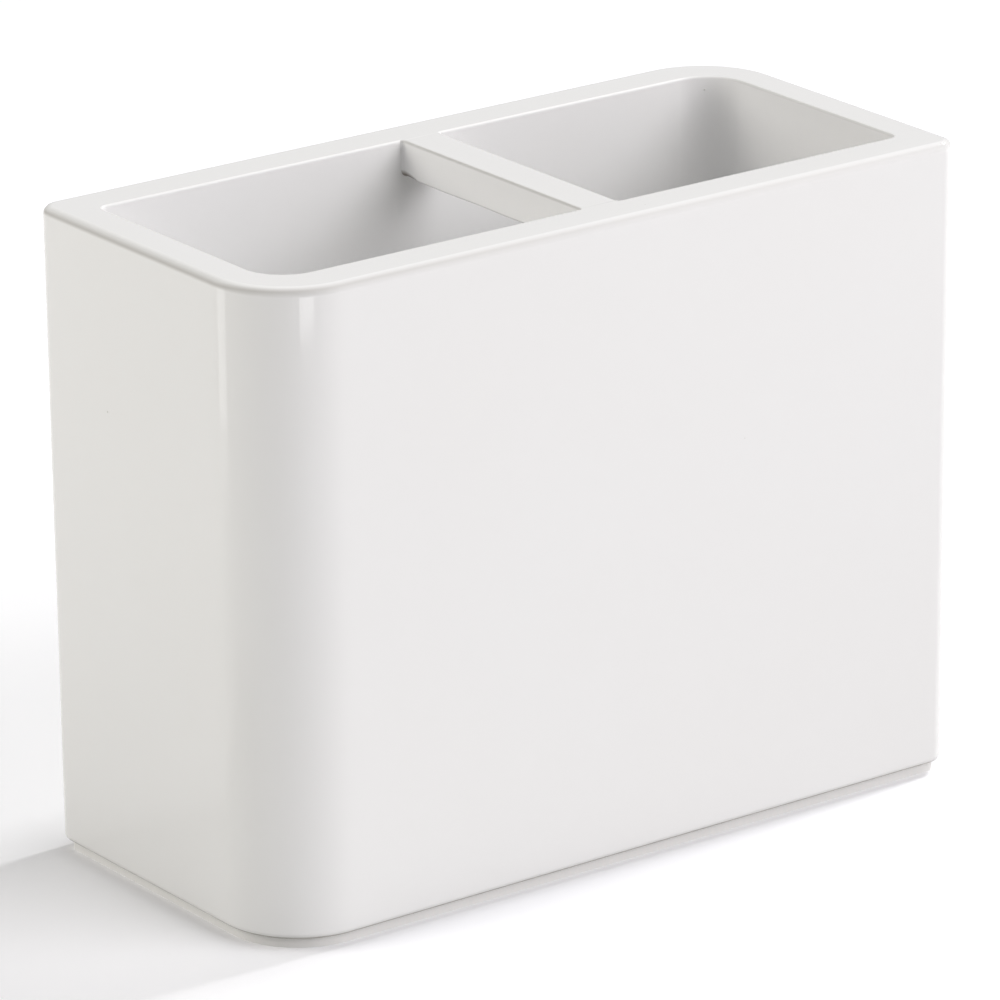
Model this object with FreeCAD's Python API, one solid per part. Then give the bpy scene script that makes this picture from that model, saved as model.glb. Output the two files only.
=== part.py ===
import FreeCAD, Part
import os

# Sizes in millimetres. +X is along the length, +Y points to the back, and +Z is up.
# The middle of the foot plate's underside is the origin.

# Walls. Two opposite upright corners are round, front left and back right, and the other two are crisp.
body_length = 114.5  # along X, at the rim
body_depth = 53.0  # along Y, at the rim
wall_height = 90.0  # bottom to rim
draft = 0.4  # each side comes in by this much at the bottom
long_wall = 6.6  # thickness of the front and back
end_wall = 5.7  # thickness of the two ends
round_radius = 11.9  # outside of the round corners
crisp_radius = 2.7  # outside of the crisp corners
hollow_round_radius = 6.1  # inside of the round corners
hollow_crisp_radius = 1.3  # inside of the crisp corners
rim_round = 1.25  # outer edge of the rim
mouth_round = 0.4  # inner edge of the rim
bottom_round = 1.0  # outer edge of the bottom

# Divider bar
divider_width = 6.15  # along X
divider_height = 5.3  # along Z, down from the rim
divider_offset = 0.9  # middle of the bar, right of the middle of the body
divider_round = 0.4  # long upper edges
housing_depth = 3.0  # how far each end is let into its wall

# Base panel
panel_thickness = 6.0
panel_ledge = 2.5  # how far the rebate cuts into the wall
panel_gap = 0.1  # glue line around the panel

# Foot plate
foot_thickness = 1.5
foot_inset = 1.3  # from the outer edge of the bottom
foot_crisp_radius = 1.0  # under the crisp corners

# Levels that follow from the sizes
bottom_level = foot_thickness
panel_level = bottom_level + panel_thickness
rim_level = bottom_level + wall_height

# Corner radii as pairs: round, then crisp
outer_radii = (round_radius, crisp_radius)
hollow_radii = (hollow_round_radius, hollow_crisp_radius)

# Hollow between the walls, at the rim
hollow_length = body_length - 2 * end_wall
hollow_depth = body_depth - 2 * long_wall
divider_length = hollow_depth + 2 * housing_depth

# Rebate for the base panel, cut in from the hollow's outline at the bottom
rebate_length = hollow_length - 2 * draft + 2 * panel_ledge
rebate_depth = hollow_depth - 2 * draft + 2 * panel_ledge
rebate_radii = tuple(radius + panel_ledge for radius in hollow_radii)

QUARTER_TURN = 90
QUARTERS = ((1, 1), (-1, 1), (-1, -1), (1, -1))  # signs of X and Y, anticlockwise from the back right
SAME_PLACE = 1e-4


def outline(length, depth, radii, level):
    """Return a closed rectangle at one level, centred on the Z axis, with its two radii at corners in turn."""
    arcs = []
    for turn, (side_x, side_y) in enumerate(QUARTERS):
        radius = radii[turn % 2]
        centre = FreeCAD.Vector(side_x * (length / 2 - radius), side_y * (depth / 2 - radius), level)
        start = QUARTER_TURN * turn
        arcs.append(Part.makeCircle(radius, centre, FreeCAD.Vector(0, 0, 1), start, start + QUARTER_TURN))
    edges = []
    for arc, next_arc in zip(arcs, arcs[1:] + arcs[:1]):
        edges.append(arc)
        edges.append(Part.makeLine(arc.lastVertex().Point, next_arc.firstVertex().Point))
    return Part.Wire(edges)


def plate(length, depth, radii, low, high):
    """Return a plate with upright sides between two levels."""
    face = Part.Face(outline(length, depth, radii, low))
    return face.extrude(FreeCAD.Vector(0, 0, high - low))


def drafted_block(length, depth, radii):
    """Return a block from bottom to rim that comes in by the draft on every side at the bottom."""
    bottom = outline(length - 2 * draft, depth - 2 * draft, radii, bottom_level)
    rim = outline(length, depth, radii, rim_level)
    return Part.makeLoft([bottom, rim], True, True)


def edges_at(solid, level):
    """Return the edges of a solid that lie flat at one level."""
    found = []
    for edge in solid.Edges:
        box = edge.BoundBox
        if abs(box.ZMin - level) < SAME_PLACE and abs(box.ZMax - level) < SAME_PLACE:
            found.append(edge)
    return found


def bar_block(depth):
    """Return a plain stretch of the divider's section, as long as the given depth along Y."""
    corner = FreeCAD.Vector(divider_offset - divider_width / 2, -depth / 2, rim_level - divider_height)
    return Part.makeBox(divider_width, depth, divider_height, corner)


def make_wall_ring():
    """Return the ring of walls, with its rounded edges, the rebate and the two housings."""
    hollow = drafted_block(hollow_length, hollow_depth, hollow_radii)
    ring = drafted_block(body_length, body_depth, outer_radii)
    ring = ring.makeFillet(rim_round, edges_at(ring, rim_level))
    ring = ring.makeFillet(bottom_round, edges_at(ring, bottom_level))
    ring = ring.cut(hollow)
    mouth = [edge for edge in edges_at(ring, rim_level) if edge.distToShape(hollow)[0] < SAME_PLACE]
    ring = ring.makeFillet(mouth_round, mouth)
    ring = ring.cut(plate(rebate_length, rebate_depth, rebate_radii, bottom_level, panel_level))
    return ring.cut(bar_block(divider_length))


def make_divider_bar():
    """Return the bar: a span with its long upper edges rounded, and a plain end in each housing."""
    span = bar_block(hollow_depth)
    ends = bar_block(divider_length).cut(span)
    upper_edges = [edge for edge in edges_at(span, rim_level) if edge.BoundBox.YLength > SAME_PLACE]
    return span.makeFillet(divider_round, upper_edges).fuse(ends).removeSplitter()


def make_base_panel():
    """Return the floor of the hollow, which fills the rebate but for its glue line."""
    length = rebate_length - 2 * panel_gap
    depth = rebate_depth - 2 * panel_gap
    radii = tuple(radius - panel_gap for radius in rebate_radii)
    return plate(length, depth, radii, bottom_level, panel_level)


def make_foot_plate():
    """Return the thin plate that the body stands on."""
    inset = draft + foot_inset
    radii = (round_radius - foot_inset, foot_crisp_radius)
    return plate(body_length - 2 * inset, body_depth - 2 * inset, radii, 0, bottom_level)


pieces = {
    "wall_ring": make_wall_ring(),
    "divider_bar": make_divider_bar(),
    "base_panel": make_base_panel(),
    "foot_plate": make_foot_plate(),
}
os.makedirs("parts", exist_ok=True)
for name, shape in pieces.items():
    shape.exportStep("parts/" + name + ".step")
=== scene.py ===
"""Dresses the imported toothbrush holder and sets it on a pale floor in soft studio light.

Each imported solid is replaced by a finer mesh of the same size: the walls with their rounded edges,
the divider bar with its lacquered joints, the base panel, and the foot plate under them.
"""

import logging
import math
from dataclasses import dataclass, field
from enum import Enum
from typing import Any

import bpy
from mathutils import Matrix, Vector, noise


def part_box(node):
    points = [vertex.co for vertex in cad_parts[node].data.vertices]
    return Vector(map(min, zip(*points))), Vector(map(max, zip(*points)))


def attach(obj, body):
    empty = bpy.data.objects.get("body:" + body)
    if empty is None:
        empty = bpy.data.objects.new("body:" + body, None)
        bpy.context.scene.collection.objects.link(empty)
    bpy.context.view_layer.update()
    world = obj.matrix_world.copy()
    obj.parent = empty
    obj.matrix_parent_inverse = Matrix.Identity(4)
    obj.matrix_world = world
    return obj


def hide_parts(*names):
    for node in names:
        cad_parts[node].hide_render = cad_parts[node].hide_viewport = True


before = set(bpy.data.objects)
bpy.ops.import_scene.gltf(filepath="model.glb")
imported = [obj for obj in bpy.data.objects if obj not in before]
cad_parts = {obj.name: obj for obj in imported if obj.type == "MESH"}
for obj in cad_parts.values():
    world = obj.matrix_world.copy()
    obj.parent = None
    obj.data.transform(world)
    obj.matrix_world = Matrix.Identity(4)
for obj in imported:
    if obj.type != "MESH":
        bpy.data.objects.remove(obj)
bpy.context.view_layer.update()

LOG = logging.getLogger("toothbrush_holder")
MM = 0.001
ROOT_BODY = "root"
FOOT_CRISP_RADIUS = 1.0 * MM
LEAST_STEP = 0.01 * MM  # levels closer than this count as the same
QUARTER_TURN = math.pi / 2
QUADRANTS = ((1, 1), (-1, 1), (-1, -1), (1, -1))  # signs of X and Y, anticlockwise
MIX_FIRST_COLOUR = 6  # places of the colour sockets on a Mix node
MIX_SECOND_COLOUR = 7
MIX_COLOUR_OUT = 2
PAINTED_SHADE_AND_BARE_SPOT = "painted_shade_and_bare_spot"  # share of the undercoat colour painted on as shade along edges, and at the bar's partly bare spot, from none to full
DRY_SPRAY = "dry_spray"  # where the spray landed half dry, as one or none


class Node(Enum):
    """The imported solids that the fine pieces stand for."""

    WALL_RING = "wall_ring"
    DIVIDER_BAR = "divider_bar"
    BASE_PANEL = "base_panel"
    FOOT_PLATE = "foot_plate"


class Slot(Enum):
    """The record's material slots."""

    LACQUER = "lacquer"
    FOOT_RUBBER = "foot_rubber"


def srgb(code: str) -> tuple[float, float, float, float]:
    """Turn an sRGB hex colour into linear light, by the curve of the sRGB standard.

    Args:
        code: the colour as six hex digits after a hash sign.

    Returns:
        Red, green, blue and an alpha of one.
    """
    channels = [int(code[place:place + 2], 16) / 255 for place in (1, 3, 5)]
    linear = [c / 12.92 if c <= 0.04045 else ((c + 0.055) / 1.055) ** 2.4 for c in channels]
    return (*linear, 1.0)


def repeats_of(size_mm: float) -> float:
    """Return the texture scale that gives a pattern of this size, in millimetres."""
    return 1 / (size_mm * MM)


def add_node(
    tree: bpy.types.NodeTree,
    kind: str,
    settings: dict[str, Any] | None = None,
    inputs: dict[str | int, Any] | None = None,
) -> bpy.types.Node:
    """Add a node to a tree, with its settings, values and links.

    Args:
        tree: the tree that takes the node.
        kind: Blender's name for the node's type.
        settings: the node's own properties.
        inputs: a value, or an output socket to link, for each input by name or place.

    Returns:
        The new node.
    """
    node = tree.nodes.new(kind)
    for name, value in (settings or {}).items():
        setattr(node, name, value)
    for key, value in (inputs or {}).items():
        if isinstance(value, bpy.types.NodeSocket):
            tree.links.new(value, node.inputs[key])
        else:
            node.inputs[key].default_value = value
    return node


def empty_material(name: str) -> bpy.types.Material:
    """Return a new material with nodes and none of the default ones."""
    material = bpy.data.materials.new(name)
    material.use_nodes = True
    material.node_tree.nodes.clear()
    return material


@dataclass(frozen=True)
class SprayedLacquer:
    """White gloss lacquer, sprayed on cast resin and left to level.

    The level coat mirrors the lamps sharply, its faint orange peel wavers in the reflections, and a
    few grains of dust that settled while it was wet stand out as pin points. The rim, the bar and the
    lower edge carry thin greyer lines of painted shade, which stand in for the shade and the dark
    reflections along those edges. Spray lands half dry in the hollow, which is satin and mirrors
    nothing clearly.
    """

    white: str = "#F2F2F2"
    warm_white: str = "#F1F0EF"
    # mixed in as painted shade along the edges, and as the bar's partly bare, partly shaded spot
    shade_and_undercoat: str = "#8A8378"
    dust: str = "#D9D8D3"
    ior: float = 1.5
    roughness: tuple[float, float] = (0.06, 0.10)
    dry_roughness: float = 0.34
    tone_mm: float = 38.0
    gloss_mm: float = 14.0
    peel_mm: float = 2.4
    peel_height_mm: float = 0.0012
    flow_mm: float = 24.0
    flow_height_mm: float = 0.012
    relief_detail: float = 1.0
    dust_spacing_mm: float = 9.0
    dust_size_mm: float = 0.16
    dust_height_mm: float = 0.05
    dust_share: float = 0.45

    def material(self) -> bpy.types.Material:
        """Return the lacquer as a node material."""
        material = empty_material("white_gloss_lacquer_sprayed")
        tree = material.node_tree
        place = add_node(tree, "ShaderNodeTexCoord").outputs["Object"]
        dust = self.dust_grains(tree, place)
        shader = add_node(tree, "ShaderNodeBsdfPrincipled", inputs={
            "Base Color": self.colour(tree, place, dust),
            "Roughness": self.gloss(tree, place),
            "IOR": self.ior,
            "Normal": self.relief(tree, place, dust),
        })
        add_node(tree, "ShaderNodeOutputMaterial", inputs={"Surface": shader.outputs["BSDF"]})
        return material

    def dust_grains(self, tree: bpy.types.NodeTree, place: bpy.types.NodeSocket) -> bpy.types.NodeSocket:
        """Return a mask that is one on the scattered dust grains.

        Args:
            tree: the material's node tree.
            place: the object's own coordinates.

        Returns:
            The mask's socket.
        """
        cells = add_node(tree, "ShaderNodeTexVoronoi", {"feature": "F1"}, {
            "Vector": place,
            "Scale": repeats_of(self.dust_spacing_mm),
        })
        reach = self.dust_size_mm / self.dust_spacing_mm
        grain = add_node(tree, "ShaderNodeMapRange", inputs={
            "Value": cells.outputs["Distance"],
            "From Min": reach / 2,
            "From Max": reach,
            "To Min": 1.0,
            "To Max": 0.0,
        })
        chosen = add_node(tree, "ShaderNodeMath", {"operation": "LESS_THAN"}, {
            0: cells.outputs["Color"],
            1: self.dust_share,
        })
        mask = add_node(tree, "ShaderNodeMath", {"operation": "MULTIPLY"}, {
            0: grain.outputs["Result"],
            1: chosen.outputs["Value"],
        })
        return mask.outputs["Value"]

    def colour(
        self, tree: bpy.types.NodeTree, place: bpy.types.NodeSocket, dust: bpy.types.NodeSocket
    ) -> bpy.types.NodeSocket:
        """Return the lacquer's colour, which drifts a little over the body, with painted shade mixed in.

        Args:
            tree: the material's node tree.
            place: the object's own coordinates.
            dust: the mask of the dust grains.

        Returns:
            The colour's socket.
        """
        drift = add_node(tree, "ShaderNodeTexNoise", inputs={
            "Vector": place,
            "Scale": repeats_of(self.tone_mm),
        })
        coat = add_node(tree, "ShaderNodeMix", {"data_type": "RGBA"}, {
            "Factor": drift.outputs["Fac"],
            MIX_FIRST_COLOUR: srgb(self.white),
            MIX_SECOND_COLOUR: srgb(self.warm_white),
        })
        # Painted shade: this attribute says how much of the undercoat colour is painted on along the
        # edges.
        thin = add_node(tree, "ShaderNodeAttribute", {"attribute_name": PAINTED_SHADE_AND_BARE_SPOT})
        edge_shaded = add_node(tree, "ShaderNodeMix", {"data_type": "RGBA"}, {
            "Factor": thin.outputs["Fac"],
            MIX_FIRST_COLOUR: coat.outputs[MIX_COLOUR_OUT],
            MIX_SECOND_COLOUR: srgb(self.shade_and_undercoat),
        })
        dusted = add_node(tree, "ShaderNodeMix", {"data_type": "RGBA"}, {
            "Factor": dust,
            MIX_FIRST_COLOUR: edge_shaded.outputs[MIX_COLOUR_OUT],
            MIX_SECOND_COLOUR: srgb(self.dust),
        })
        return dusted.outputs[MIX_COLOUR_OUT]

    def gloss(self, tree: bpy.types.NodeTree, place: bpy.types.NodeSocket) -> bpy.types.NodeSocket:
        """Return the roughness, which varies with how the spray fell and is duller in the hollow.

        Args:
            tree: the material's node tree.
            place: the object's own coordinates.

        Returns:
            The roughness socket.
        """
        fall = add_node(tree, "ShaderNodeTexNoise", inputs={
            "Vector": place,
            "Scale": repeats_of(self.gloss_mm),
        })
        smooth, dull = self.roughness
        spread = add_node(tree, "ShaderNodeMapRange", inputs={
            "Value": fall.outputs["Fac"],
            "To Min": smooth,
            "To Max": dull,
        })
        dry = add_node(tree, "ShaderNodeAttribute", {"attribute_name": DRY_SPRAY})
        whole = add_node(tree, "ShaderNodeMath", {"operation": "MULTIPLY_ADD"}, {
            0: dry.outputs["Fac"],
            1: self.dry_roughness,
            2: spread.outputs["Result"],
        })
        return whole.outputs["Value"]

    def relief(
        self, tree: bpy.types.NodeTree, place: bpy.types.NodeSocket, dust: bpy.types.NodeSocket
    ) -> bpy.types.NodeSocket:
        """Return the normal, with slow flow, orange peel and dust grains on top of each other.

        Args:
            tree: the material's node tree.
            place: the object's own coordinates.
            dust: the mask of the dust grains.

        Returns:
            The normal's socket.
        """
        flow = add_node(tree, "ShaderNodeTexNoise", inputs={
            "Vector": place,
            "Scale": repeats_of(self.flow_mm),
            "Detail": self.relief_detail,
        })
        peel = add_node(tree, "ShaderNodeTexNoise", inputs={
            "Vector": place,
            "Scale": repeats_of(self.peel_mm),
            "Detail": self.relief_detail,
        })
        flowed = add_node(tree, "ShaderNodeBump", inputs={
            "Height": flow.outputs["Fac"],
            "Distance": self.flow_height_mm * MM,
        })
        peeled = add_node(tree, "ShaderNodeBump", inputs={
            "Height": peel.outputs["Fac"],
            "Distance": self.peel_height_mm * MM,
            "Normal": flowed.outputs["Normal"],
        })
        dusted = add_node(tree, "ShaderNodeBump", inputs={
            "Height": dust,
            "Distance": self.dust_height_mm * MM,
            "Normal": peeled.outputs["Normal"],
        })
        return dusted.outputs["Normal"]


@dataclass(frozen=True)
class MouldedRubber:
    """Pale rubber, cut from a moulded sheet.

    The sheet's matt skin scatters the light, so it shows no lamp, only a fine even grain.
    """

    pale: str = "#F6F5F4"
    shade: str = "#F2F1EF"
    ior: float = 1.52
    roughness: tuple[float, float] = (0.62, 0.78)
    grain_mm: float = 0.45
    grain_height_mm: float = 0.03
    mottle_mm: float = 6.0

    def material(self) -> bpy.types.Material:
        """Return the rubber as a node material."""
        material = empty_material("pale_rubber_moulded_sheet")
        tree = material.node_tree
        place = add_node(tree, "ShaderNodeTexCoord").outputs["Object"]
        mottle = add_node(tree, "ShaderNodeTexNoise", inputs={
            "Vector": place,
            "Scale": repeats_of(self.mottle_mm),
        })
        grain = add_node(tree, "ShaderNodeTexNoise", inputs={
            "Vector": place,
            "Scale": repeats_of(self.grain_mm),
        })
        colour = add_node(tree, "ShaderNodeMix", {"data_type": "RGBA"}, {
            "Factor": mottle.outputs["Fac"],
            MIX_FIRST_COLOUR: srgb(self.pale),
            MIX_SECOND_COLOUR: srgb(self.shade),
        })
        smooth, dull = self.roughness
        skin = add_node(tree, "ShaderNodeMapRange", inputs={
            "Value": grain.outputs["Fac"],
            "To Min": smooth,
            "To Max": dull,
        })
        relief = add_node(tree, "ShaderNodeBump", inputs={
            "Height": grain.outputs["Fac"],
            "Distance": self.grain_height_mm * MM,
        })
        shader = add_node(tree, "ShaderNodeBsdfPrincipled", inputs={
            "Base Color": colour.outputs[MIX_COLOUR_OUT],
            "Roughness": skin.outputs["Result"],
            "IOR": self.ior,
            "Normal": relief.outputs["Normal"],
        })
        add_node(tree, "ShaderNodeOutputMaterial", inputs={"Surface": shader.outputs["BSDF"]})
        return material


@dataclass(frozen=True)
class Outline:
    """A rectangle centred on the Z axis, in metres.

    One opposite pair of its corners is round, and the other is crisp.
    """

    length: float
    depth: float
    round_radius: float
    crisp_radius: float
    least_radius: float = 0.05 * MM
    arc_steps: int = 24
    long_steps: int = 64
    short_steps: int = 30

    def grown(self, by: float) -> "Outline":
        """Return the outline with its sides and corners moved out by a distance."""
        radii = (self.round_radius, self.crisp_radius)
        new_radii = (max(radius + by, self.least_radius) for radius in radii)
        return Outline(self.length + 2 * by, self.depth + 2 * by, *new_radii)

    def drawn_in(self, by: float) -> "Outline":
        """Return the outline with its sides moved in, and its corners as round as before."""
        return Outline(self.length - 2 * by, self.depth - 2 * by, self.round_radius, self.crisp_radius)

    def corner(self, turn: int, level: float) -> list[Vector]:
        """Return the points of one corner's arc.

        Args:
            turn: which corner, anticlockwise from the back right.
            level: the height above the floor.

        Returns:
            The points, anticlockwise.
        """
        side_x, side_y = QUADRANTS[turn]
        radius = (self.round_radius, self.crisp_radius)[turn % 2]
        middle = Vector((side_x * (self.length / 2 - radius), side_y * (self.depth / 2 - radius), level))
        angles = [QUARTER_TURN * (turn + step / self.arc_steps) for step in range(self.arc_steps + 1)]
        return [middle + radius * Vector((math.cos(angle), math.sin(angle), 0)) for angle in angles]

    def points(self, level: float) -> list[Vector]:
        """Return the outline's points at one level, anticlockwise from the right end.

        Args:
            level: the height above the floor.

        Returns:
            The points, as many for every outline.
        """
        corners = [self.corner(turn, level) for turn in range(len(QUADRANTS))]
        found = []
        sides = (self.long_steps, self.short_steps) * 2
        for arc, next_arc, steps in zip(corners, corners[1:] + corners[:1], sides):
            found += arc
            found += [arc[-1].lerp(next_arc[0], step / steps) for step in range(1, steps)]
        return found


def band_faces(bands: int, width: int, joined: bool) -> list[tuple[int, ...]]:
    """Return the quads between loops of points that lie one after another.

    Args:
        bands: how many loops there are.
        width: how many points each loop has.
        joined: whether the last loop meets the first.

    Returns:
        The faces as point numbers.
    """
    faces = []
    last = bands if joined else bands - 1
    for band in range(last):
        here = band * width
        there = (band + 1) % bands * width
        for place in range(width):
            after = (place + 1) % width
            faces.append((here + place, here + after, there + after, there + place))
    return faces


def make_piece(
    name: str,
    loops: list[list[Vector]],
    joined: bool,
    material: bpy.types.Material,
    shares: dict[str, list[float]] | None = None,
) -> bpy.types.Object:
    """Make an object from loops of points, each as long as the others.

    Args:
        name: the piece's name.
        loops: the loops in order, anticlockwise seen from where they go.
        joined: whether the last loop meets the first, or both are closed by a flat face.
        material: the piece's finish.
        shares: what the finish needs to know of each point in order, by its name there.

    Returns:
        The new object, smooth but for its flat faces.
    """
    width = len(loops[0])
    points = [point for loop in loops for point in loop]
    faces = band_faces(len(loops), width, joined)
    if not joined:
        first = tuple(reversed(range(width)))
        last = tuple(range(len(points) - width, len(points)))
        faces += [first, last]
    mesh = bpy.data.meshes.new(name)
    mesh.from_pydata(points, [], faces)
    mesh.validate()
    mesh.shade_smooth()
    for share, values in (shares or {}).items():
        mesh.attributes.new(share, "FLOAT", "POINT").data.foreach_set("value", values)
    if not joined:
        inner = range(width, len(points) - width)
        for edge in mesh.edges:
            edge.use_edge_sharp = all(point not in inner for point in edge.vertices)
    mesh.materials.append(material)
    piece = bpy.data.objects.new(name, mesh)
    bpy.context.scene.collection.objects.link(piece)
    even = piece.modifiers.new("even_flats", "WEIGHTED_NORMAL")
    even.keep_sharp = True
    return piece


def place_piece(piece: bpy.types.Object, node: Node, slot: Slot) -> None:
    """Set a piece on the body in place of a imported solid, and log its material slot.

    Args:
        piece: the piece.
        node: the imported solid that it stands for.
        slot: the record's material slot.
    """
    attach(piece, ROOT_BODY)
    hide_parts(node.value)
    LOG.info("%s stands for %s in %s", piece.name, node.value, slot.value)


def quarter(steps: int) -> list[float]:
    """Return the angles of a quarter turn in even steps, both ends among them."""
    return [QUARTER_TURN * step / steps for step in range(steps + 1)]


@dataclass
class Walls:
    """The ring of four walls: drafted outside, rounded at the rim, the mouth and the foot."""

    finish: bpy.types.Material
    rim_level: float
    bottom_level: float
    panel_level: float
    length: float = 114.5 * MM
    depth: float = 53.0 * MM
    draft: float = 0.4 * MM
    long_wall: float = 6.6 * MM
    end_wall: float = 5.7 * MM
    radii: tuple[float, float] = (11.9 * MM, 2.7 * MM)
    hollow_radii: tuple[float, float] = (6.1 * MM, 1.3 * MM)
    rim_round: float = 1.25 * MM
    mouth_round: float = 0.4 * MM
    bottom_round: float = 1.0 * MM
    panel_ledge: float = 2.5 * MM
    wall_steps: int = 12
    round_steps: int = 16
    small_round_steps: int = 6
    # Thin lines of painted shade on the rim's outer round, set by angle, reach and strength, stronger
    # towards the left end.
    shade_line_angles: tuple[float, float] = (math.radians(24), math.radians(42))  # on the ends, on the front
    shade_line_reaches: tuple[float, float] = (math.radians(22), math.radians(40))
    shade_line_strength: tuple[float, float] = (0.22, 0.42)  # at the right end, at the left end
    mouth_shade_line: float = 0.10  # shares of the undercoat colour painted on as shade
    low_shade_line: float = 0.8
    low_shade_line_rise: float = 0.3 * MM

    def draft_at(self, level: float) -> float:
        """Return how far the walls have come in at one level, which is nothing at the rim."""
        share = (self.rim_level - level) / (self.rim_level - self.bottom_level)
        return self.draft * share

    def outer(self, level: float) -> Outline:
        """Return the outside of the walls at one level."""
        return Outline(self.length, self.depth, *self.radii).drawn_in(self.draft_at(level))

    def hollow(self, level: float) -> Outline:
        """Return the inside of the walls at one level."""
        length = self.length - 2 * self.end_wall
        depth = self.depth - 2 * self.long_wall
        return Outline(length, depth, *self.hollow_radii).drawn_in(self.draft_at(level))

    def profile(self) -> list[tuple[Outline, float]]:
        """Return the outlines and levels that the ring runs through.

        Returns:
            The outlines, from the rebate's foot round the outside, over the rim and down the inside.
        """
        rebate = self.hollow(self.bottom_level).grown(self.panel_ledge)
        found = [(rebate, self.bottom_level)]
        foot_middle = self.bottom_level + self.bottom_round
        for angle in quarter(self.small_round_steps):
            inset = self.bottom_round * (1 - math.sin(angle))
            level = foot_middle - self.bottom_round * math.cos(angle)
            found.append((self.outer(foot_middle).grown(-inset), level))
        shoulder = self.rim_level - self.rim_round
        for step in range(1, self.wall_steps):
            level = foot_middle + (shoulder - foot_middle) * step / self.wall_steps
            found.append((self.outer(level), level))
        for angle in quarter(self.round_steps):
            inset = self.rim_round * (1 - math.cos(angle))
            level = shoulder + self.rim_round * math.sin(angle)
            found.append((self.outer(shoulder).grown(-inset), level))
        lip = self.rim_level - self.mouth_round
        for angle in quarter(self.small_round_steps):
            outset = self.mouth_round * (1 - math.sin(angle))
            level = lip + self.mouth_round * math.cos(angle)
            found.append((self.hollow(lip).grown(outset), level))
        for step in range(1, self.wall_steps + 1):
            level = lip + (self.panel_level - lip) * step / self.wall_steps
            found.append((self.hollow(level), level))
        found.append((rebate, self.panel_level))
        return found

    def in_mouth(self, point: Vector) -> bool:
        """Return whether a point lies within the hollow and its rounded edge, seen from above."""
        mouth_x = self.length / 2 - self.end_wall + 2 * self.mouth_round
        mouth_y = self.depth / 2 - self.long_wall + 2 * self.mouth_round
        return abs(point.x) < mouth_x and abs(point.y) < mouth_y

    def painted_shade_line(self, point: Vector) -> float:
        """Return how much painted shade lies at a point.

        It lies in thin lines round the rim, the mouth and the lower edge, in place of the shade and the
        dark reflections there.

        Args:
            point: a point of the ring.

        Returns:
            The share of the undercoat colour painted on as shade.
        """
        # Painted shadow: a dark line along the lower edge, where shade falls in the gap above the foot.
        if point.z < self.bottom_level + self.low_shade_line_rise:
            return self.low_shade_line
        rise = point.z - (self.rim_level - self.rim_round)
        if rise <= 0:
            return 0.0
        # Painted shade: a faint line on the mouth's round that tones down its highlight.
        if self.in_mouth(point):
            on_round = LEAST_STEP < self.rim_level - point.z < self.mouth_round - LEAST_STEP
            return self.mouth_shade_line if on_round else 0.0
        # Painted shade on the rim's outer round, in place of the dark reflection along it; on the front it
        # also tones down a bright band.
        angle = math.asin(min(rise / self.rim_round, 1.0))
        past_end = -point.y - (self.depth / 2 - self.radii[0])
        front = min(max(past_end / self.radii[0], 0.0), 1.0)
        from_ends_to_front = (self.shade_line_angles, self.shade_line_reaches)
        middle, reach = (end + (long - end) * front for end, long in from_ends_to_front)
        near = max(1 - abs(angle - middle) / reach, 0.0)
        right, left = self.shade_line_strength
        share = 0.5 - point.x / self.length
        return near * (right + (left - right) * share ** 2)

    def build(self) -> bpy.types.Object:
        """Build the ring and return it."""
        loops = [outline.points(level) for outline, level in self.profile()]
        points = [point for loop in loops for point in loop]
        dry_level = self.rim_level - LEAST_STEP
        shares = {
            PAINTED_SHADE_AND_BARE_SPOT: [self.painted_shade_line(point) for point in points],
            DRY_SPRAY: [float(point.z < dry_level and self.in_mouth(point)) for point in points],
        }
        return make_piece("walls", loops, True, self.finish, shares)

    def dress(self) -> bpy.types.Object:
        """Build the ring, set it on the body and return it."""
        piece = self.build()
        place_piece(piece, Node.WALL_RING, Slot.LACQUER)
        return piece


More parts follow.
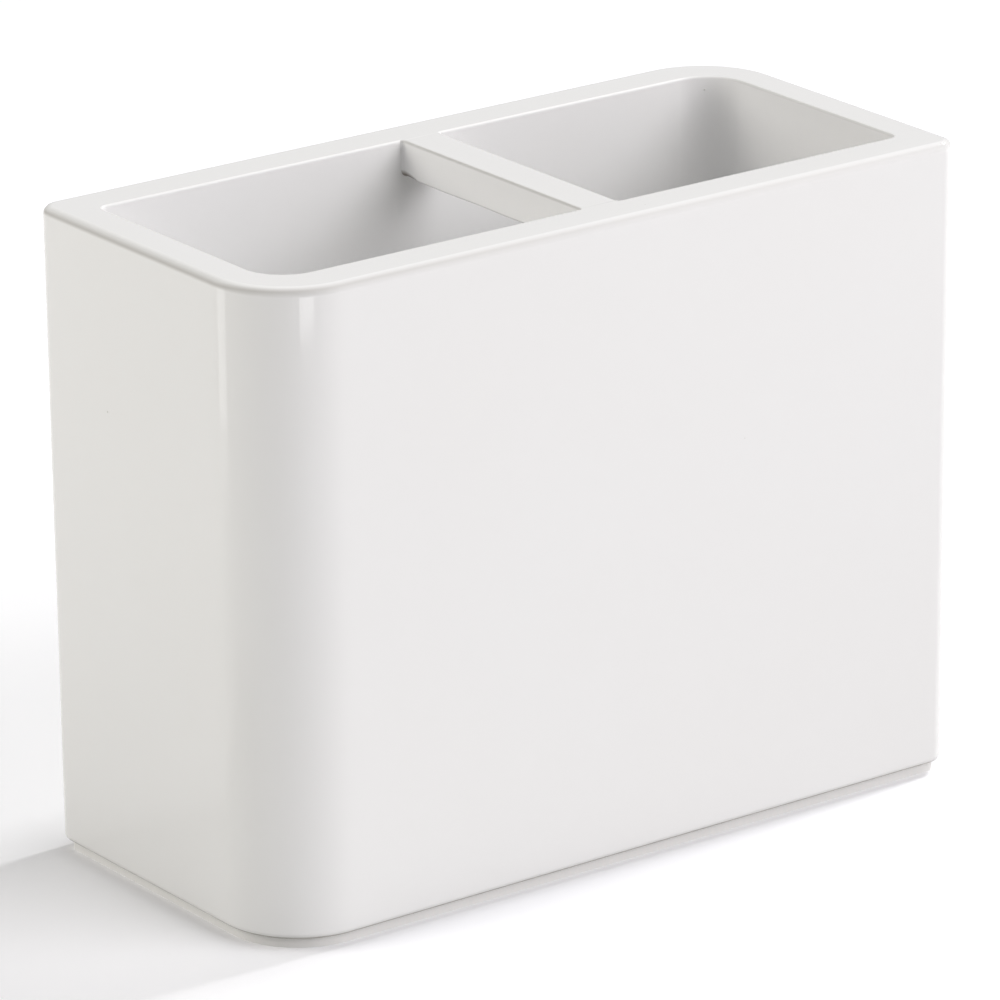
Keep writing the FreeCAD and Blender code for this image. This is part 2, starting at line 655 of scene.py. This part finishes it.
@dataclass
class DividerBar:
    """The bar across the mouth: flush with the rim, lacquered over its joints, open underneath."""

    finish: bpy.types.Material
    low: Vector
    high: Vector
    reach: float
    wall_face: float
    top_round: float = 0.4 * MM
    under_round: float = 0.45 * MM
    cove: float = 0.35 * MM
    round_steps: int = 6
    span_steps: int = 120
    end_steps: int = 8
    wander: float = 0.06 * MM
    wander_size: float = 7.0 * MM
    # Lines of painted shade on the bar's upper and lower left edges, in place of their dark edge shading.
    top_shade_line: float = 0.34
    under_shade_line: float = 0.22
    # Where the lower left edge meets the back wall it darkens to a spot, partly bare undercoat and partly
    # painted shade.
    bare_and_shaded_end: float = 1.0
    bare_and_shaded_length: float = 3.4 * MM
    worn_round: float = 0.7 * MM

    def section(self, along: float) -> list[Vector]:
        """Return the bar's section at one place along it, anticlockwise seen from the front.

        Args:
            along: the place along Y.

        Returns:
            The section's points.
        """
        to_wall = max(self.wall_face - abs(along), 0.0)
        short = max(self.cove - to_wall, 0.0)
        flare = self.cove - math.sqrt(self.cove ** 2 - short ** 2)
        left = self.low.x - flare
        right = self.high.x + flare
        wave = self.wander * noise.noise(Vector((along / self.wander_size, self.low.x, 0.0)))
        under = self.low.z + self.wander + wave
        top = self.high.z
        worn_round = self.under_round + self.worn_round * self.wear_and_shade(along)
        corners = (
            (right, top, self.top_round, 1, 1),
            (left, top, self.top_round, -1, 1),
            (left, under, worn_round, -1, -1),
            (right, under, self.under_round, 1, -1),
        )
        found = []
        for turn, (edge, level, radius, side_x, side_z) in enumerate(corners):
            for angle in quarter(self.round_steps):
                around = angle + QUARTER_TURN * turn
                found.append(Vector((
                    edge - side_x * radius + radius * math.cos(around),
                    along,
                    level - side_z * radius + radius * math.sin(around),
                )))
        return found

    def wear_and_shade(self, along: float) -> float:
        """Return how far the lower left edge is worn and darkened at one place, which is only near the
        back wall; the darkening is partly bare undercoat and partly painted shade.

        Args:
            along: the place along Y.

        Returns:
            One at the wall, falling to none.
        """
        away = (self.wall_face - along) / self.bare_and_shaded_length
        return max(1 - away ** 2, 0.0)

    def shade_and_bare_lines(self, along: float) -> list[float]:
        """Return how much painted shade lies round the section at one place along the bar.

        Args:
            along: the place along Y.

        Returns:
            The shares of the undercoat colour, in the order of the section's points. The left edges show a
            line of painted shade, and the lower one darkens near the back wall, partly bare where the
            spray didn't reach and partly painted shade where the bar meets the wall.
        """
        # The lower line darkens towards the back wall: partly bare undercoat, partly painted shade.
        under = self.under_shade_line + (self.bare_and_shaded_end - self.under_shade_line) * self.wear_and_shade(along)
        found = []
        for strength in (0.0, self.top_shade_line, under, 0.0):
            found += [strength * math.sin(2 * angle) for angle in quarter(self.round_steps)]
        return found

    def stations(self) -> list[float]:
        """Return the places along Y that have a section, closer together at the coves."""
        clear = self.wall_face - self.cove
        span = [-clear + 2 * clear * step / self.span_steps for step in range(self.span_steps + 1)]
        back = [clear + self.cove * step / self.end_steps for step in range(1, self.end_steps + 1)]
        back.append(self.reach)
        front = [-place for place in reversed(back)]
        return front + span + back

    def build(self) -> bpy.types.Object:
        """Build the bar and return it."""
        stations = self.stations()
        loops = [list(reversed(self.section(along))) for along in stations]
        painted_shade_and_bare_spot = [share for along in stations for share in reversed(self.shade_and_bare_lines(along))]
        return make_piece("divider", loops, False, self.finish, {PAINTED_SHADE_AND_BARE_SPOT: painted_shade_and_bare_spot})

    def dress(self) -> bpy.types.Object:
        """Build the bar, set it on the body and return it."""
        piece = self.build()
        place_piece(piece, Node.DIVIDER_BAR, Slot.LACQUER)
        return piece


@dataclass
class BasePanel:
    """The floor of the hollow, with lacquer gathered in a small cove along the walls."""

    finish: bpy.types.Material
    plate: Outline
    hollow: Outline
    low: float
    high: float
    cove: float = 1.2 * MM
    wall_gap: float = 0.02 * MM
    cove_steps: int = 8

    def build(self) -> bpy.types.Object:
        """Build the panel and return it."""
        loops = [self.plate.points(self.low), self.plate.points(self.high)]
        edge = self.hollow.grown(-self.wall_gap)
        loops.append(edge.points(self.high))
        for angle in quarter(self.cove_steps):
            inset = self.cove * (1 - math.cos(angle))
            level = self.high + self.cove * (1 - math.sin(angle))
            loops.append(edge.grown(-inset).points(level))
        dry = [1.0 for loop in loops for point in loop]
        return make_piece("panel", loops, False, self.finish, {DRY_SPRAY: dry})

    def dress(self) -> bpy.types.Object:
        """Build the panel, set it on the body and return it."""
        piece = self.build()
        place_piece(piece, Node.BASE_PANEL, Slot.LACQUER)
        return piece


@dataclass
class FootPlate:
    """The thin rubber plate that the body stands on, with an eased upper edge."""

    finish: bpy.types.Material
    outline: Outline
    low: float
    high: float
    edge_round: float = 0.3 * MM
    round_steps: int = 4

    def build(self) -> bpy.types.Object:
        """Build the plate and return it."""
        loops = [self.outline.points(self.low)]
        for angle in quarter(self.round_steps):
            inset = self.edge_round * (1 - math.cos(angle))
            level = self.high - self.edge_round * (1 - math.sin(angle))
            loops.append(self.outline.grown(-inset).points(level))
        return make_piece("foot", loops, False, self.finish)

    def dress(self) -> bpy.types.Object:
        """Build the plate, set it under the body and return it."""
        piece = self.build()
        place_piece(piece, Node.FOOT_PLATE, Slot.FOOT_RUBBER)
        return piece


@dataclass(frozen=True)
class StudioPaper:
    """Smooth white paper, which throws the light back evenly and keeps a soft shadow."""

    bounce: str = "#C4C4C2"
    seen: str = "#FDFDFF"
    fibre: str = "#FAFAFD"
    fibre_mm: float = 3.0
    lift: float = 0.04

    def material(self) -> bpy.types.Material:
        """Return the paper as a node material, paler to the eye than to the light that it bounces."""
        material = empty_material("white_studio_paper")
        tree = material.node_tree
        place = add_node(tree, "ShaderNodeTexCoord").outputs["Object"]
        fibres = add_node(tree, "ShaderNodeTexNoise", inputs={
            "Vector": place,
            "Scale": repeats_of(self.fibre_mm),
        })
        colour = add_node(tree, "ShaderNodeMix", {"data_type": "RGBA"}, {
            "Factor": fibres.outputs["Fac"],
            MIX_FIRST_COLOUR: srgb(self.seen),
            MIX_SECOND_COLOUR: srgb(self.fibre),
        })
        bounced = add_node(tree, "ShaderNodeBsdfDiffuse", inputs={"Color": srgb(self.bounce)})
        lit = add_node(tree, "ShaderNodeBsdfDiffuse", inputs={"Color": colour.outputs[MIX_COLOUR_OUT]})
        glow = add_node(tree, "ShaderNodeEmission", inputs={"Strength": self.lift})
        shown = add_node(tree, "ShaderNodeAddShader", inputs={
            0: lit.outputs["BSDF"],
            1: glow.outputs["Emission"],
        })
        either = add_node(tree, "ShaderNodeMixShader", inputs={
            "Fac": direct_sight(tree),
            1: bounced.outputs["BSDF"],
            2: shown.outputs["Shader"],
        })
        add_node(tree, "ShaderNodeOutputMaterial", inputs={"Surface": either.outputs["Shader"]})
        return material


def direct_sight(tree: bpy.types.NodeTree) -> bpy.types.NodeSocket:
    """Return a factor that is one where a thing is seen directly, mirrored or through glass.

    Args:
        tree: the node tree that takes the nodes.

    Returns:
        The factor's socket.
    """
    path = add_node(tree, "ShaderNodeLightPath")
    mirrored = add_node(tree, "ShaderNodeMath", {"operation": "MAXIMUM"}, {
        0: path.outputs["Is Camera Ray"],
        1: path.outputs["Is Glossy Ray"],
    })
    any_sight = add_node(tree, "ShaderNodeMath", {"operation": "MAXIMUM"}, {
        0: mirrored.outputs["Value"],
        1: path.outputs["Is Transmission Ray"],
    })
    return any_sight.outputs["Value"]


@dataclass(frozen=True)
class Softbox:
    """A flat lamp with a diffusing front, aimed at the object, in degrees, metres and watts.

    One that isn't mirrored lights the object without showing in its gloss.
    """

    name: str
    azimuth: float
    elevation: float
    distance: float
    width: float
    height: float
    power: float
    colour: str = "#FFFFFF"
    mirrored: bool = True

    def build(self, aim: Vector) -> bpy.types.Object:
        """Build the lamp and return it.

        Args:
            aim: the point that the lamp faces.

        Returns:
            The lamp's object.
        """
        turn = math.radians(self.azimuth)
        rise = math.radians(self.elevation)
        level_away = Vector((math.cos(turn), math.sin(turn), 0))
        away = level_away * math.cos(rise) + Vector((0, 0, math.sin(rise)))
        light = bpy.data.lights.new(self.name, "AREA")
        light.shape = "RECTANGLE"
        light.size = self.width
        light.size_y = self.height
        light.energy = self.power
        light.color = srgb(self.colour)[:3]
        lamp = bpy.data.objects.new(self.name, light)
        lamp.location = aim + away * self.distance
        lamp.rotation_mode = "QUATERNION"
        lamp.rotation_quaternion = away.to_track_quat("Z", "Y")
        lamp.visible_camera = False
        lamp.visible_glossy = self.mirrored
        bpy.context.scene.collection.objects.link(lamp)
        LOG.info("lamp %s", self.name)
        return lamp


@dataclass(frozen=True)
class Eye:
    """The camera, at the photograph's place, in degrees, metres and pixels."""

    azimuth: float = -36.588
    elevation: float = 19.496
    roll: float = -0.446
    distance: float = 1009.52 * MM
    aim_height: float = 46.5 * MM
    aim_right: float = -0.752 * MM
    aim_up: float = -1.480 * MM
    focal_pixels: float = 7452.5
    image_pixels: int = 1000
    sensor_mm: float = 36.0

    def build(self) -> bpy.types.Object:
        """Build the camera, make it the scene's own and return it."""
        turn, rise, roll = (math.radians(angle) for angle in (self.azimuth, self.elevation, self.roll))
        level_back = Vector((math.sin(turn), -math.cos(turn), 0))
        back = level_back * math.cos(rise) + Vector((0, 0, math.sin(rise)))
        level_right = Vector((math.cos(turn), math.sin(turn), 0))
        level_up = back.cross(level_right)
        right = level_right * math.cos(roll) + level_up * math.sin(roll)
        up = level_up * math.cos(roll) - level_right * math.sin(roll)
        aim = Vector((0, 0, self.aim_height)) + right * self.aim_right + up * self.aim_up
        data = bpy.data.cameras.new("eye")
        data.sensor_width = self.sensor_mm
        data.lens = self.focal_pixels * self.sensor_mm / self.image_pixels
        camera = bpy.data.objects.new("eye", data)
        turned = Matrix((right, up, back)).transposed().to_4x4()
        camera.matrix_world = Matrix.Translation(aim + back * self.distance) @ turned
        bpy.context.scene.collection.objects.link(camera)
        bpy.context.scene.camera = camera
        LOG.info("camera at %s", tuple(round(place, 4) for place in camera.location))
        return camera


@dataclass
class Studio:
    """The pale floor, the lamps and the soft light of the room."""

    paper: StudioPaper = field(default_factory=StudioPaper)
    floor_radius: float = 3.0
    floor_sides: int = 96
    room: str = "#FFFFFF"
    room_level: float = 0.27
    seen_level: float = 1.0
    aim_height: float = 45.0 * MM
    lamps: tuple[Softbox, ...] = (
        Softbox(
            "key_softbox", azimuth=1, elevation=44, distance=2.0, width=0.34, height=0.34, power=22.0,
        ),
        Softbox(
            "front_softbox", azimuth=-62, elevation=37, distance=1.6, width=1.28, height=1.28, power=11.5,
            mirrored=False,
        ),
        Softbox(
            "low_front_softbox", azimuth=-66, elevation=18, distance=1.0, width=0.8, height=0.5, power=2.4,
            colour="#FFF8FE", mirrored=False,
        ),
        Softbox(
            "left_softbox", azimuth=153, elevation=25, distance=1.0, width=0.6, height=0.6, power=4.5,
            colour="#FFFCF5", mirrored=False,
        ),
        Softbox(
            "right_card", azimuth=-113, elevation=-5.2, distance=0.248, width=0.07, height=0.015,
            power=0.0097,
        ),
        Softbox(
            "left_card", azimuth=152, elevation=-2, distance=0.24, width=0.05, height=0.07, power=0.014,
        ),
    )

    def build_floor(self) -> bpy.types.Object:
        """Build the floor and return it."""
        rim = [
            self.floor_radius * Vector((math.cos(angle), math.sin(angle), 0))
            for angle in (math.tau * side / self.floor_sides for side in range(self.floor_sides))
        ]
        mesh = bpy.data.meshes.new("floor")
        mesh.from_pydata(rim, [], [tuple(range(self.floor_sides))])
        mesh.materials.append(self.paper.material())
        floor = bpy.data.objects.new("floor", mesh)
        bpy.context.scene.collection.objects.link(floor)
        LOG.info("floor of %s", mesh.materials[0].name)
        return floor

    def build_room(self) -> None:
        """Build the light that comes from all round, which is plain white to the eye."""
        world = bpy.data.worlds.new("room")
        world.use_nodes = True
        tree = world.node_tree
        tree.nodes.clear()
        light = add_node(tree, "ShaderNodeBackground", inputs={
            "Color": srgb(self.room),
            "Strength": self.room_level,
        })
        path = add_node(tree, "ShaderNodeLightPath")
        white = add_node(tree, "ShaderNodeBackground", inputs={
            "Color": srgb(self.room),
            "Strength": self.seen_level,
        })
        either = add_node(tree, "ShaderNodeMixShader", inputs={
            "Fac": path.outputs["Is Camera Ray"],
            1: light.outputs["Background"],
            2: white.outputs["Background"],
        })
        add_node(tree, "ShaderNodeOutputWorld", inputs={"Surface": either.outputs["Shader"]})
        bpy.context.scene.world = world

    def build(self) -> None:
        """Build the floor, the room and the lamps."""
        self.build_floor()
        self.build_room()
        aim = Vector((0, 0, self.aim_height))
        for softbox in self.lamps:
            softbox.build(aim)
        bpy.context.scene.view_settings.view_transform = "Standard"


def main() -> None:
    """Build the pieces from the foot up, then the studio and the camera."""
    logging.basicConfig(level=logging.INFO, format="%(message)s")
    lacquer = SprayedLacquer().material()
    rubber = MouldedRubber().material()
    ring_low, ring_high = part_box(Node.WALL_RING.value)
    bar_low, bar_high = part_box(Node.DIVIDER_BAR.value)
    panel_low, panel_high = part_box(Node.BASE_PANEL.value)
    foot_low, foot_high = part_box(Node.FOOT_PLATE.value)
    walls = Walls(lacquer, ring_high.z, ring_low.z, panel_high.z)
    panel_size = panel_high - panel_low
    foot_size = foot_high - foot_low
    foot_inset = (walls.length - foot_size.x) / 2 - walls.draft
    foot_outline = Outline(foot_size.x, foot_size.y, walls.radii[0] - foot_inset, FOOT_CRISP_RADIUS)
    foot = FootPlate(rubber, foot_outline, foot_low.z, foot_high.z)
    panel_radii = [radius + walls.panel_ledge for radius in walls.hollow_radii]
    panel = BasePanel(
        lacquer,
        Outline(panel_size.x, panel_size.y, *panel_radii),
        walls.hollow(panel_high.z),
        panel_low.z,
        panel_high.z,
    )
    wall_face = walls.depth / 2 - walls.long_wall
    bar = DividerBar(lacquer, bar_low, bar_high, wall_face + walls.mouth_round, wall_face)
    for part in (foot, panel, walls, bar):
        part.dress()
    Studio().build()
    Eye().build()


if __name__ == "__main__":
    main()
